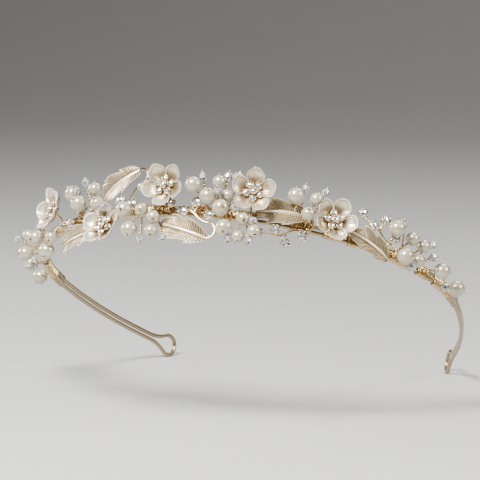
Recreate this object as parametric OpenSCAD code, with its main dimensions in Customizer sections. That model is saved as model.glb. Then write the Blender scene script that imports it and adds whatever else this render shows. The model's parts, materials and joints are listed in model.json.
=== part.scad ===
// Bridal tiara: a bent wire band, bound all over its middle with stamped
// flowers, leaves, stone-set vines and sprays of pearls and crystals.
// The origin is the centre of the band's arc. The band's plane rises
// towards the front (-Y), so the crown of the tiara stands above its ends.

/* [Band] */
// Radius of the band's arc, to the middle of its wires
band_r = 71; // [68:1:76]
// Angle from the crown of the band to where each leg begins
arc_half = 93; // [90:1:96]
// Radius of the flatter curve of each leg
leg_r = 160; // [140:5:180]
// Angle that each leg turns through
leg_angle = 21; // [16:1:26]
// Thickness of the band's wire
band_wire_d = 1.4; // [1.2:0.1:1.5]
// Distance between the band's two parallel wires, middle to middle
wire_pitch = 1.9; // [1.8:0.1:2.2]
// Radius of the round end of each loop, to the middle of the wire
loop_r = 3.6; // [3:0.1:4.2]
// Radius of the bend by which each wire parts from the other at a loop
fork_r = 15; // [12:0.5:20]
// Slope of the band's plane, front up
band_tilt = 28; // [0:1:35]

/* [Ferrules and binding] */
// Length of the crimped sleeve on each side of the band
ferrule_length = 8; // [6:0.5:9]
// Wall of the crimped sleeve
ferrule_wall = 0.45; // [0.3:0.05:0.6]
// Width of the open seam down the sleeve's back
ferrule_seam = 0.4; // [0.2:0.1:0.6]
// Thickness of the thin wire bound round the band
binding_d = 0.4; // [0.3:0.05:0.5]

/* [Flowers] */
// Width of a flower across its petals
flower_d = 14.4; // [13:0.2:16]
// Width of one round petal
petal_d = 6.2; // [5.8:0.1:6.6]
// Thickness of the stamped metal
sheet_t = 0.5; // [0.4:0.05:0.7]
// Radius of the shallow bowl that a flower's petals are pressed to
petal_bowl_r = 14; // [10:1:20]
// Width of the stones in a flower
flower_stone_d = 2; // [1.8:0.1:2.1]
// Radius of the ring of five stones
stone_ring_r = 2.3; // [2.2:0.1:2.5]

/* [Leaves and vines] */
// Length of a leaf
leaf_length = 16.5; // [15:0.5:18]
// Width of a leaf's middle blade
leaf_width = 6.4; // [5.5:0.1:7]
// Radius that a leaf is bent to along its length
leaf_bend_r = 20; // [16:1:30]
// Thickness of the vine's wire
vine_d = 1; // [0.8:0.1:1.2]
// Width of the stones along a vine
vine_stone_d = 3; // [2.6:0.1:3.2]

/* [Pearls and crystals] */
// Width of the large pearls
large_pearl_d = 5.5; // [5:0.1:6]
// Width of the small pearls
small_pearl_d = 4.5; // [4:0.1:5]
// Width of the crystal beads
crystal_d = 2.8; // [2.4:0.1:3.2]
// Thickness of a stem, which is two thin wires twisted together
stem_d = 0.9; // [0.7:0.1:1]

/* [Hidden] */

// Facets of small round things, of pearls and of the band's long curves
$fn = 36;
pearl_fn = 48;
band_fn = 180;

// Gap that lets the sleeves and the binding pass round the wires
slip = 0.1;
// Distance of the stems' feet out from the band's middle line, in the binding
root_out = band_wire_d / 2 + binding_d / 2;
// Angle at which the wires part, so that they run smoothly into the loop
loop_spread = acos((wire_pitch / 2 + fork_r) / (fork_r + loop_r));
// Hair's breadth that the bends of a wire stop short of each other, inside
// the round joint that covers them
joint_gap = 0.04;
// Radius at which the petals' centres lie
petal_ring_r = (flower_d - petal_d) / 2;
// Heights of the stones above a flower's sheet
ring_stone_z = 1.6;
middle_stone_z = 2.4;
// Height of a vine's stones above its wire, and the share of a stone's
// width that lies above and below its widest line
vine_stone_z = 2.1;
crown_share = 0.22;
pavilion_share = 0.42;
// A cup's height, the width of its foot, the width of the point of its
// hollow, and the width of a stone's table and culet, as shares of the
// stone's width
cup_share = 0.8;
cup_foot_share = 0.55;
cup_point_share = 0.2;
table_share = 0.6;
culet_share = 0.15;
// Height and width of the lip that a cup has round its stone
cup_lip_h = 0.2;
cup_lip_w = 0.22;
// A crystal bead's half height and the width of its ends, as shares of its
// width
bead_half_share = 0.46;
bead_end_share = 0.5;

gold = [0.80, 0.65, 0.42];
ivory = [0.87, 0.80, 0.70];
pearl_white = [0.95, 0.93, 0.88];
clear = [0.72, 0.80, 0.88];

// Layout on the band. Angles are in degrees from the crown, positive to the
// right. Across is the distance up from the band's plane and out is the
// distance outwards from its middle line, in millimetres.

// Flowers: angle, across, out, spin, lean
FLOWERS = [
    [-42, 3.5, 5.5, 10, 0],
    [-20, -7, 5.5, 0, -6],
    [-4.5, 6, 6, 35, 6],
    [17, 6.3, 6, 0, 4],
    [37, 2.5, 5.5, -20, 0]
];

// Leaf and vine pairs: angle, across, out, spin, and 1 with the leaf above
// its vine or -1 with the leaf below it
VINES = [
    [-61, 7, 1.8, 20, 1],
    [-32.5, -5.5, 1.8, 12, -1],
    [-18, 7, 1.8, 36, 1],
    [1.5, -5.2, 1.8, -14, -1],
    [25.2, -0.3, 1.8, 6, 1],
    [49.6, 1.9, 1.8, -17, -1]
];

// Bindings: the angles at which each one starts and ends
BINDINGS = [
    [-88, -75], [-72, -66], [-62, -57], [-53, -40], [-36, -25], [-22, -3], [2, 19], [27, 33],
    [36, 40], [43, 47], [53, 65], [67, 72], [75, 88]
];

// Pearls: angle where the stem is bound, angle, across, out, 1 if large
// Crystals: angle where the stem is bound, angle, across, out
PEARLS = [
    [
        [-86, -90, 0, 7, 1], [-78, -80, 0, 6.5, 1], [-70, -68, -2, 6.5, 1],
        [-68, -67, 4, 6.5, 0], [-52, -49.5, -4, 7, 1], [-47, -46, -9, 4, 1],
        [-44, -42.5, -5.5, 5, 0]
    ],
    [
        [-30, -33, 6.5, 7, 1], [-30, -29.5, 2, 7.5, 1], [-28, -27.5, 8, 4, 0],
        [-26, -24.5, 2, 5.5, 0]
    ],
    [
        [-15, -14, -2.5, 8, 1], [-13, -12, -9, 7, 1], [-12, -10, -2, 6, 0],
        [-9, -6.5, -9.3, 6, 0], [-9, -6.5, -4.5, 6, 0]
    ],
    [
        [7, 2.5, 6.5, 7, 1], [5, 6.5, 3, 7, 1], [8, 8.5, 8.5, 6, 0],
        [10, 11, 4.5, 5, 0], [11, 12.5, 11, 3.4, 0], [8, 10, -0.5, 7, 1]
    ],
    [[11, 11.5, -7, 7, 1], [14, 15.5, -3, 6, 0], [14, 15, -9, 5.5, 0], [16, 18.5, -7, 7, 0]],
    [[28, 27, 7.5, 6.5, 1], [31, 32, 8, 6, 0], [31, 30.5, 2.5, 6.5, 0]],
    [
        [54, 53.5, 6.3, 7.5, 1], [57, 59.5, 5.7, 6, 0], [61, 63.5, 5, 6, 0],
        [56, 57.5, -1.3, 7, 1], [60, 62.5, -0.3, 6, 0], [68, 71.5, 0.3, 6.5, 1],
        [77, 81, -1, 5.5, 1]
    ]
];
CRYSTALS = [
    [
        [-85, -86, 4, 4], [-79, -80, 5, 3], [-76, -76, -2.5, 4.5], [-68, -67, 2, 9.5],
        [-58, -56, -2.5, 5]
    ],
    [[-31, -30, 6.2, 9], [-29, -30.5, 10.5, 5]],
    [[-19, -20.5, -1, 8.5], [-12, -9, -12, 6], [-9, -7, 1, 4.5], [-8, -3.5, -11, 5]],
    [[6, 4.5, 9.5, 6.5], [9, 10.5, 10.5, 6.5], [9, 9, 4.5, 9], [12, 13.5, -0.3, 8]],
    [[12, 13, -10.5, 6.5], [16, 17.5, -10, 6.5], [17, 18, -3.5, 7]],
    [[29, 29, 10.5, 6], [32, 34, 11, 5.5]],
    [
        [60, 56, 9, 6.5], [63, 66.5, 7, 6], [58, 60, -4, 7], [64, 67.5, 3.2, 6],
        [70, 75, -3.5, 5.5]
    ]
];

// The middle of a leaf's blade: along and across from the vine's middle, and
// the height of its sheet
leaf_place = [-0.5, 2.6, 2.2];
// A leaf's side lobes: distance along the midrib, and length
LOBES = [[-3, 9], [1.5, 9]];
// Width of a lobe, as a share of its length
lobe_share = 0.38;
// Angle at which the lobes stand out from the midrib
lobe_angle = 38;
midrib_d = 0.7;

// How far a stem's end stands out of its pearl or crystal
stem_end = 0.4;

// A vine's wire: where it starts, then the radius and angle of each bend
vine_start = [7.1, 2.6, 0.3];
VINE_BENDS = [[2.6, -190], [7, 45], [6, -50], [7, 35]];
// A vine's stones, and the points of the wire that their stalks leave
VINE_STONES = [
    [6.4, -4.7, 5.4, -2.5], [0.8, -7.6, 1.2, -3.8],
    [-2.4, -3.4, -2.4, -4.8], [-7.6, -4.8, -6.5, -4.5]
];
stalk_d = 0.8;
stalk_z = 0.4;

// ---------------------------------------------------------------- helpers

// The point at an angle along the band, across it and out from it
function on_band(angle, across, out) = [
    (band_r + out) * sin(angle),
    -(band_r + out) * cos(angle),
    across
];

// Where a stem's foot is bound to the band
function foot(angle) = on_band(angle, 0, root_out);

// Stands its children on the band: +X runs along the band to the right,
// +Y across it and +Z outwards
module on_band_at(angle, across, out, spin = 0, lean = 0) {
    rotate([0, 0, angle])
        translate([0, -(band_r + out), across])
            rotate([90 + lean, 0, 0])
                rotate([0, 0, spin])
                    children();
}

// Stands its children at a point, with their +Z in the direction given
module aim(point, direction) {
    level = norm([direction.x, direction.y]);
    translate(point)
        rotate([0, atan2(level, direction.z), atan2(direction.y, direction.x)])
            children();
}

// A straight round rod between two points
module rod(from, to, d) {
    aim(from, to - from)
        cylinder(h = norm(to - from), d = d);
}

// An arc of round wire that leaves the origin along +X, without its joints
module bend(bend_r, angle, d) {
    short = joint_gap / bend_r * 180 / PI;
    start = angle > 0 ? -90 : 90 + angle;
    translate([0, sign(angle) * bend_r, 0])
        rotate([0, 0, start + short])
            rotate_extrude(
                angle = abs(angle) - 2 * short,
                $fn = bend_r < band_r ? $fn : 2 * band_fn
            )
                translate([bend_r, 0])
                    circle(d = d);
}

// The round joint between two bends
module joint(d) {
    sphere(d = d + joint_gap / 2);
}

// A chain of bends, each leaving the end of the one before it
module bend_chain(bends, d, i = 0) {
    joint(d);
    if (i < len(bends)) {
        centre_y = sign(bends[i][1]) * bends[i][0];
        bend(bends[i][0], bends[i][1], d);
        translate([0, centre_y, 0])
            rotate([0, 0, bends[i][1]])
                translate([0, -centre_y, 0])
                    bend_chain(bends, d, i + 1);
    }
}

// The outline that wraps the band's two wires at a distance from them
module pair_outline(distance) {
    round_d = band_wire_d + 2 * distance;
    for (side = [-1, 1])
        translate([0, side * wire_pitch / 2])
            circle(d = round_d);
    square([round_d, wire_pitch], center = true);
}

// A pointed oval with its ends on the X axis
module pointed_oval(length, width) {
    arc_r = (length * length + width * width) / (4 * width);
    intersection_for (side = [-1, 1])
        translate([0, side * (arc_r - width / 2)])
            circle(r = arc_r, $fn = 90);
}

// ------------------------------------------------------------------ band

// Stands its children at the fork of the wires at the end of the right
// leg: +X runs on past the end and +Z across the band
module at_leg_end() {
    rotate([0, 0, arc_half])
        translate([0, leg_r - band_r, 0])
            rotate([0, 0, leg_angle])
                translate([0, -leg_r, 0])
                    children();
}

// The teardrop loop that joins the two wires
module end_loop() {
    loop_bends = [
        [fork_r, loop_spread],
        [loop_r, -180 - 2 * loop_spread],
        [fork_r, loop_spread]
    ];
    at_leg_end()
        rotate([90, 0, 0])
            translate([0, wire_pitch / 2, 0])
                bend_chain(loop_bends, band_wire_d);
}

// The two wires of one leg
module leg_wires() {
    for (side = [-1, 1])
        rotate([0, 0, arc_half])
            translate([0, -band_r, side * wire_pitch / 2]) {
                bend(leg_r, leg_angle, band_wire_d);
                joint(band_wire_d);
            }
}

// The two wires of the main arc
module arc_wires() {
    for (side = [-1, 1])
        rotate([0, 0, -arc_half])
            translate([0, -band_r, side * wire_pitch / 2])
                bend(band_r, 2 * arc_half, band_wire_d);
}

module band_wire() {
    color(gold) {
        arc_wires();
        for (mirrored = [0, 1])
            mirror([mirrored, 0, 0]) {
                leg_wires();
                end_loop();
            }
    }
}

// A sleeve crimped round both wires, with its seam on the inside of the band
module ferrule(side) {
    half_angle = ferrule_length / 2 / band_r * 180 / PI;
    color(gold)
        on_band_at(side * (arc_half - half_angle), 0, 0)
            rotate([0, 90, 0])
                linear_extrude(height = ferrule_length, center = true)
                    difference() {
                        pair_outline(slip + ferrule_wall);
                        pair_outline(slip);
                        translate([0, -ferrule_seam / 2])
                            square([band_wire_d + ferrule_wall, ferrule_seam]);
                    }
}

// Closely wound turns of thin wire, between two angles on the band
module binding(from, to) {
    rotate([0, 0, from - 90])
        rotate_extrude(angle = to - from, $fn = band_fn)
            translate([band_r, 0])
                difference() {
                    pair_outline(slip / 2 + binding_d);
                    pair_outline(slip / 2);
                }
}

module binding_wire() {
    color(gold)
        for (span = BINDINGS)
            binding(span[0], span[1]);
}

// --------------------------------------------------------------- flowers

// The outline of a flower: five round petals about a round middle
module flower_outline() {
    circle(r = stone_ring_r);
    for (turn = [0:4])
        rotate(90 + 72 * turn)
            translate([petal_ring_r, 0])
                circle(d = petal_d);
}

// The stamped sheet of a flower, with the bottom of its bowl at z = 0
module flower_petals(i) {
    f = FLOWERS[i];
    color(ivory)
        on_band_at(f[0], f[1], f[2], f[3], f[4])
            intersection() {
                linear_extrude(height = petal_bowl_r, center = true)
                    flower_outline();
                translate([0, 0, petal_bowl_r])
                    rotate([90, 0, 0])
                        difference() {
                            sphere(r = petal_bowl_r, $fn = 120);
                            sphere(r = petal_bowl_r - sheet_t, $fn = 120);
                        }
            }
}

// Stands its children at each of a flower's five ring stones
module at_ring_stones() {
    for (turn = [0:4])
        rotate([0, 0, 54 + 72 * turn])
            translate([stone_ring_r, 0, ring_stone_z])
                children();
}

// A conical cup for a stone whose widest line is at z = 0
module stone_cup(d) {
    cup_h = d * cup_share;
    seat_d = d + slip / 2;
    difference() {
        translate([0, 0, cup_lip_h - cup_h])
            cylinder(h = cup_h, d1 = d * cup_foot_share, d2 = d + 2 * cup_lip_w);
        translate([0, 0, -d * pavilion_share])
            cylinder(h = d * pavilion_share, d1 = d * cup_point_share, d2 = seat_d);
        cylinder(h = 2 * cup_lip_h, d = seat_d);
    }
}

// A brilliant-cut stone with its widest line at z = 0
module stone(d) {
    cylinder(h = d * crown_share, d1 = d, d2 = d * table_share);
    translate([0, 0, -d * pavilion_share])
        cylinder(h = d * pavilion_share, d1 = d * culet_share, d2 = d);
}

// The cups of a flower, and the stem that holds it on the band
module flower_setting(i) {
    f = FLOWERS[i];
    color(gold) {
        on_band_at(f[0], f[1], f[2], f[3], f[4]) {
            at_ring_stones()
                stone_cup(flower_stone_d);
            translate([0, 0, middle_stone_z])
                stone_cup(flower_stone_d);
            cylinder(h = middle_stone_z - flower_stone_d / 2, d = stalk_d * 2);
        }
        rod(foot(f[0]), on_band(f[0], f[1], f[2]), stem_d);
    }
}

module flower_stones(i) {
    f = FLOWERS[i];
    color(clear)
        on_band_at(f[0], f[1], f[2], f[3], f[4]) {
            at_ring_stones()
                stone(flower_stone_d);
            translate([0, 0, middle_stone_z])
                stone(flower_stone_d);
        }
}

// ------------------------------------------------------ leaves and vines

// Stands its children at a vine's middle, turned over where the leaf is
// below its vine
module at_vine(i) {
    v = VINES[i];
    on_band_at(v[0], v[1], v[2], v[3])
        if (v[4] > 0)
            children();
        else
            mirror([0, 1, 0])
                children();
}

// The outline of a leaf: a middle blade with a pair of lobes at each station
module leaf_outline() {
    pointed_oval(leaf_length, leaf_width);
    for (lobe = LOBES, side = [-1, 1])
        translate([lobe[0], 0])
            rotate(180 - side * lobe_angle)
                translate([lobe[1] / 4, 0])
                    pointed_oval(lobe[1], lobe[1] * lobe_share);
}

// A sheet bent along its length, with the top of its bend at the origin
module bent_sheet(thickness) {
    translate([0, 0, -leaf_bend_r])
        rotate([90, 0, 0])
            difference() {
                cylinder(h = leaf_length, r = leaf_bend_r, center = true, $fn = band_fn);
                cylinder(
                    h = leaf_length + 1, r = leaf_bend_r - thickness, center = true, $fn = band_fn
                );
            }
}

module vine_leaf(i) {
    color(ivory)
        at_vine(i)
            translate(leaf_place) {
                intersection() {
                    translate([0, 0, -leaf_bend_r / 2])
                        linear_extrude(height = leaf_bend_r)
                            leaf_outline();
                    bent_sheet(sheet_t);
                }
                intersection() {
                    translate([0, 0, -leaf_bend_r])
                        rotate([90, 0, 0])
                            rotate_extrude($fn = band_fn)
                                translate([leaf_bend_r - sheet_t / 3, 0])
                                    circle(d = midrib_d);
                    translate([0, 0, -leaf_bend_r / 2])
                        linear_extrude(height = leaf_bend_r)
                            square([leaf_length - 2, leaf_width], center = true);
                }
            }
}

// The wire that curls from the leaf's foot, with its four cups
module vine_wire(i) {
    color(gold)
        at_vine(i) {
            translate(vine_start)
                bend_chain(VINE_BENDS, vine_d);
            for (s = VINE_STONES) {
                rod([s[2], s[3], stalk_z], [s[0], s[1], stalk_z], stalk_d);
                translate([s[0], s[1], vine_stone_z])
                    stone_cup(vine_stone_d);
            }
        }
}

module vine_stones(i) {
    color(clear)
        at_vine(i)
            for (s = VINE_STONES)
                translate([s[0], s[1], vine_stone_z])
                    stone(vine_stone_d);
}

// ---------------------------------------------------------------- sprays

function pearl_width(p) = p[4] > 0 ? large_pearl_d : small_pearl_d;

// The end of the stem that runs from a foot through a bead
function stem_tip(from, bead, d) =
    bead + (bead - from) / norm(bead - from) * (d / 2 + stem_end);

module spray_pearls(i) {
    color(pearl_white)
        for (p = PEARLS[i]) {
            from = foot(p[0]);
            bead = on_band(p[1], p[2], p[3]);
            difference() {
                translate(bead)
                    sphere(d = pearl_width(p), $fn = pearl_fn);
                rod(from, stem_tip(from, bead, pearl_width(p)), stem_d + slip);
            }
        }
}

module spray_stems(i) {
    color(gold) {
        for (p = PEARLS[i]) {
            from = foot(p[0]);
            bead = on_band(p[1], p[2], p[3]);
            rod(from, stem_tip(from, bead, pearl_width(p)), stem_d);
        }
        for (c = CRYSTALS[i]) {
            from = foot(c[0]);
            bead = on_band(c[1], c[2], c[3]);
            rod(from, stem_tip(from, bead, crystal_d), stem_d);
        }
    }
}

// A bead of two cones, drilled along its length
module crystal_bead(from, bead) {
    half_h = crystal_d * bead_half_share;
    end_d = crystal_d * bead_end_share;
    difference() {
        aim(bead, bead - from) {
            cylinder(h = half_h, d1 = crystal_d, d2 = end_d);
            translate([0, 0, -half_h])
                cylinder(h = half_h, d1 = end_d, d2 = crystal_d);
        }
        rod(from, stem_tip(from, bead, crystal_d), stem_d + slip);
    }
}

module spray_crystals(i) {
    color(clear)
        for (c = CRYSTALS[i])
            crystal_bead(foot(c[0]), on_band(c[1], c[2], c[3]));
}

// -------------------------------------------------------------- assembly

// Lays its children at the band's slope
module sloped() {
    rotate([-band_tilt, 0, 0])
        children();
}

sloped() band_wire();
sloped() ferrule(-1);  // left_ferrule
sloped() ferrule(1);  // right_ferrule
sloped() binding_wire();
sloped() flower_petals(0);  // flower_1_petals
sloped() flower_setting(0);  // flower_1_setting
sloped() flower_stones(0);  // flower_1_stones
sloped() flower_petals(1);  // flower_2_petals
sloped() flower_setting(1);  // flower_2_setting
sloped() flower_stones(1);  // flower_2_stones
sloped() flower_petals(2);  // flower_3_petals
sloped() flower_setting(2);  // flower_3_setting
sloped() flower_stones(2);  // flower_3_stones
sloped() flower_petals(3);  // flower_4_petals
sloped() flower_setting(3);  // flower_4_setting
sloped() flower_stones(3);  // flower_4_stones
sloped() flower_petals(4);  // flower_5_petals
sloped() flower_setting(4);  // flower_5_setting
sloped() flower_stones(4);  // flower_5_stones
sloped() vine_leaf(0);  // vine_1_leaf
sloped() vine_wire(0);  // vine_1_wire
sloped() vine_stones(0);  // vine_1_stones
sloped() vine_leaf(1);  // vine_2_leaf
sloped() vine_wire(1);  // vine_2_wire
sloped() vine_stones(1);  // vine_2_stones
sloped() vine_leaf(2);  // vine_3_leaf
sloped() vine_wire(2);  // vine_3_wire
sloped() vine_stones(2);  // vine_3_stones
sloped() vine_leaf(3);  // vine_4_leaf
sloped() vine_wire(3);  // vine_4_wire
sloped() vine_stones(3);  // vine_4_stones
sloped() vine_leaf(4);  // vine_5_leaf
sloped() vine_wire(4);  // vine_5_wire
sloped() vine_stones(4);  // vine_5_stones
sloped() vine_leaf(5);  // vine_6_leaf
sloped() vine_wire(5);  // vine_6_wire
sloped() vine_stones(5);  // vine_6_stones
sloped() spray_pearls(0);  // spray_1_pearls
sloped() spray_stems(0);  // spray_1_stems
sloped() spray_crystals(0);  // spray_1_crystals
sloped() spray_pearls(1);  // spray_2_pearls
sloped() spray_stems(1);  // spray_2_stems
sloped() spray_crystals(1);  // spray_2_crystals
sloped() spray_pearls(2);  // spray_3_pearls
sloped() spray_stems(2);  // spray_3_stems
sloped() spray_crystals(2);  // spray_3_crystals
sloped() spray_pearls(3);  // spray_4_pearls
sloped() spray_stems(3);  // spray_4_stems
sloped() spray_crystals(3);  // spray_4_crystals
sloped() spray_pearls(4);  // spray_5_pearls
sloped() spray_stems(4);  // spray_5_stems
sloped() spray_crystals(4);  // spray_5_crystals
sloped() spray_pearls(5);  // spray_6_pearls
sloped() spray_stems(5);  // spray_6_stems
sloped() spray_crystals(5);  // spray_6_crystals
sloped() spray_pearls(6);  // spray_7_pearls
sloped() spray_stems(6);  // spray_7_stems
sloped() spray_crystals(6);  // spray_7_crystals
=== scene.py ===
"""A bridal tiara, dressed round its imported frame.

The frame gives where everything is. Each class below reads the places of its
own pieces from it, builds their fine meshes in millimetres, and sets them
down in the frame in metres.
"""
import json
import logging
import math
from dataclasses import dataclass
from enum import Enum
from itertools import permutations
from typing import Callable, Iterable, Sequence

import bpy
import numpy as np
from mathutils import Matrix, Vector


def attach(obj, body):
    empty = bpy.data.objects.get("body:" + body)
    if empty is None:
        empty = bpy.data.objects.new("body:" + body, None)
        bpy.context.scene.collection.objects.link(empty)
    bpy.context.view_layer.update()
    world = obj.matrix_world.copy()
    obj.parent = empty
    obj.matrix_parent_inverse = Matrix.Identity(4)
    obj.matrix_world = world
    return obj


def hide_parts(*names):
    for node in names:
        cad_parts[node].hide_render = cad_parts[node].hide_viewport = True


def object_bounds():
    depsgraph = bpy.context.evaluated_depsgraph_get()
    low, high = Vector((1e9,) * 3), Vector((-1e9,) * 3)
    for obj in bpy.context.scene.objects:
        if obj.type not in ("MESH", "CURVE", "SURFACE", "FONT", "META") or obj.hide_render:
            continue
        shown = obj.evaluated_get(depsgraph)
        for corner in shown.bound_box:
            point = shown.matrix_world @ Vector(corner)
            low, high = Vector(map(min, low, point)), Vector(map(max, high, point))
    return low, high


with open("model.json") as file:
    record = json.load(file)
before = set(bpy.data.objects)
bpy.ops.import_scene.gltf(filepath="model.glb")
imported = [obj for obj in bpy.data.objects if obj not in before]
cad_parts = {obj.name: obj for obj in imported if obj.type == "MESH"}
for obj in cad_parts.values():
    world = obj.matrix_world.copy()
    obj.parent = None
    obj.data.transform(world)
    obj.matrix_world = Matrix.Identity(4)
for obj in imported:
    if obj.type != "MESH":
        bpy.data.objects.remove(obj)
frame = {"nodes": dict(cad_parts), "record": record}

LOG = logging.getLogger("tiara")
MM = 0.001
TAU = 2 * math.pi
CAD_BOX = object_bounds()

Colour = tuple[float, float, float, float]
Span = tuple[float, float]
Value = "float | Wire"


class Slot(Enum):
    """The record's material slots."""

    BAND = "gold_wire"
    BINDING = "binding_wire"
    SETTING = "stone_settings"
    IVORY = "ivory_metal"
    PEARL = "pearl"
    CRYSTAL = "crystal"


# ---------------------------------------------------------------- shaders


class Wire:
    """A shader socket whose arithmetic adds Math nodes."""

    def __init__(self, board: "Board", socket: bpy.types.NodeSocket) -> None:
        """Wraps one output socket of a board."""
        self.board = board
        self.socket = socket

    def _math(self, operation: str, first: Value, second: Value) -> "Wire":
        """Adds one Math node and returns its result."""
        settings = {"operation": operation}
        return self.board.add("ShaderNodeMath", settings, {0: first, 1: second})

    def __add__(self, other: Value) -> "Wire":
        """Returns self + other."""
        return self._math("ADD", self, other)

    def __radd__(self, other: Value) -> "Wire":
        """Returns other + self."""
        return self._math("ADD", other, self)

    def __mul__(self, other: Value) -> "Wire":
        """Returns self * other."""
        return self._math("MULTIPLY", self, other)

    def __rmul__(self, other: Value) -> "Wire":
        """Returns other * self."""
        return self._math("MULTIPLY", other, self)

    def over(self, span: Span) -> "Wire":
        """Returns this value, which runs from 0 to 1, stretched over a span."""
        return self * (span[1] - span[0]) + span[0]


class Board:
    """The node tree of one material."""

    def __init__(self, name: str) -> None:
        """Starts an empty material with its output node."""
        self.material = bpy.data.materials.new(name)
        self.material.use_nodes = True
        self.tree = self.material.node_tree
        self.tree.nodes.clear()
        self.output = self.tree.nodes.new("ShaderNodeOutputMaterial")

    def add(self, kind: str, settings: dict, sockets: dict, output: int | str = 0) -> Wire:
        """Adds a node.

        Args:
            kind: Blender's name for the node's type.
            settings: Its properties, set first; "stops" fills a colour ramp.
            sockets: Values or wires for its inputs, by name or place.
            output: The output to return.

        Returns:
            The chosen output.
        """
        node = self.tree.nodes.new(kind)
        for key, value in settings.items():
            if key == "stops":
                self._fill_ramp(node, value)
            else:
                setattr(node, key, value)
        for key, value in sockets.items():
            if isinstance(value, Wire):
                self.tree.links.new(value.socket, node.inputs[key])
            else:
                node.inputs[key].default_value = value
        return Wire(self, node.outputs[output])

    @staticmethod
    def _fill_ramp(node: bpy.types.Node, stops: Sequence[tuple[float, Colour]]) -> None:
        """Sets a colour ramp's stops."""
        elements = node.color_ramp.elements
        while len(elements) < len(stops):
            elements.new(1.0)
        for element, (place, colour) in zip(elements, stops):
            element.position = place
            element.color = colour

    def noise(self, scale: float, detail: float = 3.0) -> Wire:
        """Returns noise in object space, with features about 1 / scale across."""
        place = self.add("ShaderNodeTexCoord", {}, {}, "Object")
        sockets = {"Vector": place, "Scale": scale, "Detail": detail}
        return self.add("ShaderNodeTexNoise", {}, sockets)

    def tone(self) -> Wire:
        """Returns the tone that the mesh carries."""
        settings = {"attribute_name": "tone", "attribute_type": "GEOMETRY"}
        return self.add("ShaderNodeAttribute", settings, {}, "Fac")

    def blend(self, factor: Value, first: Colour, second: Colour) -> Wire:
        """Returns a mix of two colours."""
        sockets = {0: factor, 6: first, 7: second}
        return self.add("ShaderNodeMix", {"data_type": "RGBA"}, sockets, 2)

    def ramp(self, factor: Wire, *stops: tuple[float, Colour]) -> Wire:
        """Returns the colour of a ramp at a factor."""
        return self.add("ShaderNodeValToRGB", {"stops": stops}, {0: factor})

    def bump(self, height: Wire, strength: float, distance: float) -> Wire:
        """Returns a normal that a height has pushed about."""
        sockets = {"Height": height, "Strength": strength, "Distance": distance}
        return self.add("ShaderNodeBump", {}, sockets)

    def finish(self, sockets: dict) -> bpy.types.Material:
        """Adds the surface shader and returns the finished material."""
        shader = self.add("ShaderNodeBsdfPrincipled", {}, sockets)
        self.tree.links.new(shader.socket, self.output.inputs["Surface"])
        return self.material


@dataclass(frozen=True)
class Plate:
    """Plated wire: a metal colour that thins to a deeper one in places."""

    name: str
    bright: Colour
    deep: Colour
    roughness: Span
    patches: float = 233.0
    grain: float = 1400.0
    relief: float = 0.00004

    def material(self) -> bpy.types.Material:
        """Returns the material."""
        board = Board(self.name)
        patches = board.noise(self.patches)
        grain = board.noise(self.grain, 5.0)
        return board.finish({
            "Base Color": board.blend(patches, self.bright, self.deep),
            "Metallic": 1.0,
            "Roughness": grain.over(self.roughness),
            "Normal": board.bump(grain, 0.25, self.relief),
        })


@dataclass(frozen=True)
class Stamped:
    """Matt champagne plate, with painted highlights along its rims and, in its hollows, a gold tint
    darkened with painted shade.

    The mesh carries a tone, 0 in the hollows and 1 along the rims, which paints the shade and the
    highlights.
    """

    name: str = "champagne_plate"
    # Hollow and crease colours: painted shade over the gold; rim colour: a painted highlight.
    hollow_shade: Colour = (0.07, 0.035, 0.01, 1)
    crease: Colour = (0.19, 0.12, 0.05, 1)
    sheet: Colour = (0.47, 0.375, 0.23, 1)
    rim: Colour = (1.0, 0.96, 0.84, 1)
    cloud: float = 260.0
    cloud_tone: Span = (-0.08, 0.08)
    grain: float = 4200.0
    relief: float = 0.00005
    metal: Span = (0.9, 0.6)
    roughness: Span = (0.26, 0.42)

    def material(self) -> bpy.types.Material:
        """Returns the material."""
        board = Board(self.name)
        tone = board.tone()
        grain = board.noise(self.grain, 6.0)
        shade = tone + board.noise(self.cloud).over(self.cloud_tone)
        # The tone picks painted shade in hollows and creases and a painted highlight on rims.
        stops = ((0.0, self.hollow_shade), (0.3, self.crease), (0.6, self.sheet), (1.0, self.rim))
        return board.finish({
            "Base Color": board.ramp(shade, *stops),
            "Metallic": tone.over(self.metal),
            "Roughness": grain.over(self.roughness),
            "Normal": board.bump(grain, 0.5, self.relief),
        })


@dataclass(frozen=True)
class Pearly:
    """Ivory pearl coating, with a faint cloudiness and a clear lustre."""

    name: str = "ivory_pearl"
    light: Colour = (0.56, 0.52, 0.39, 1)
    warm: Colour = (0.37, 0.335, 0.225, 1)
    cloud: float = 420.0
    grain: float = 2600.0
    relief: float = 0.00003
    roughness: Span = (0.17, 0.29)

    def material(self) -> bpy.types.Material:
        """Returns the material."""
        board = Board(self.name)
        grain = board.noise(self.grain, 4.0)
        return board.finish({
            "Base Color": board.blend(board.noise(self.cloud), self.light, self.warm),
            "Metallic": 0.4,
            "Roughness": grain.over(self.roughness),
            "Coat Weight": 1.0,
            "Coat Roughness": 0.04,
            "Normal": board.bump(grain, 0.12, self.relief),
        })


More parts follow.
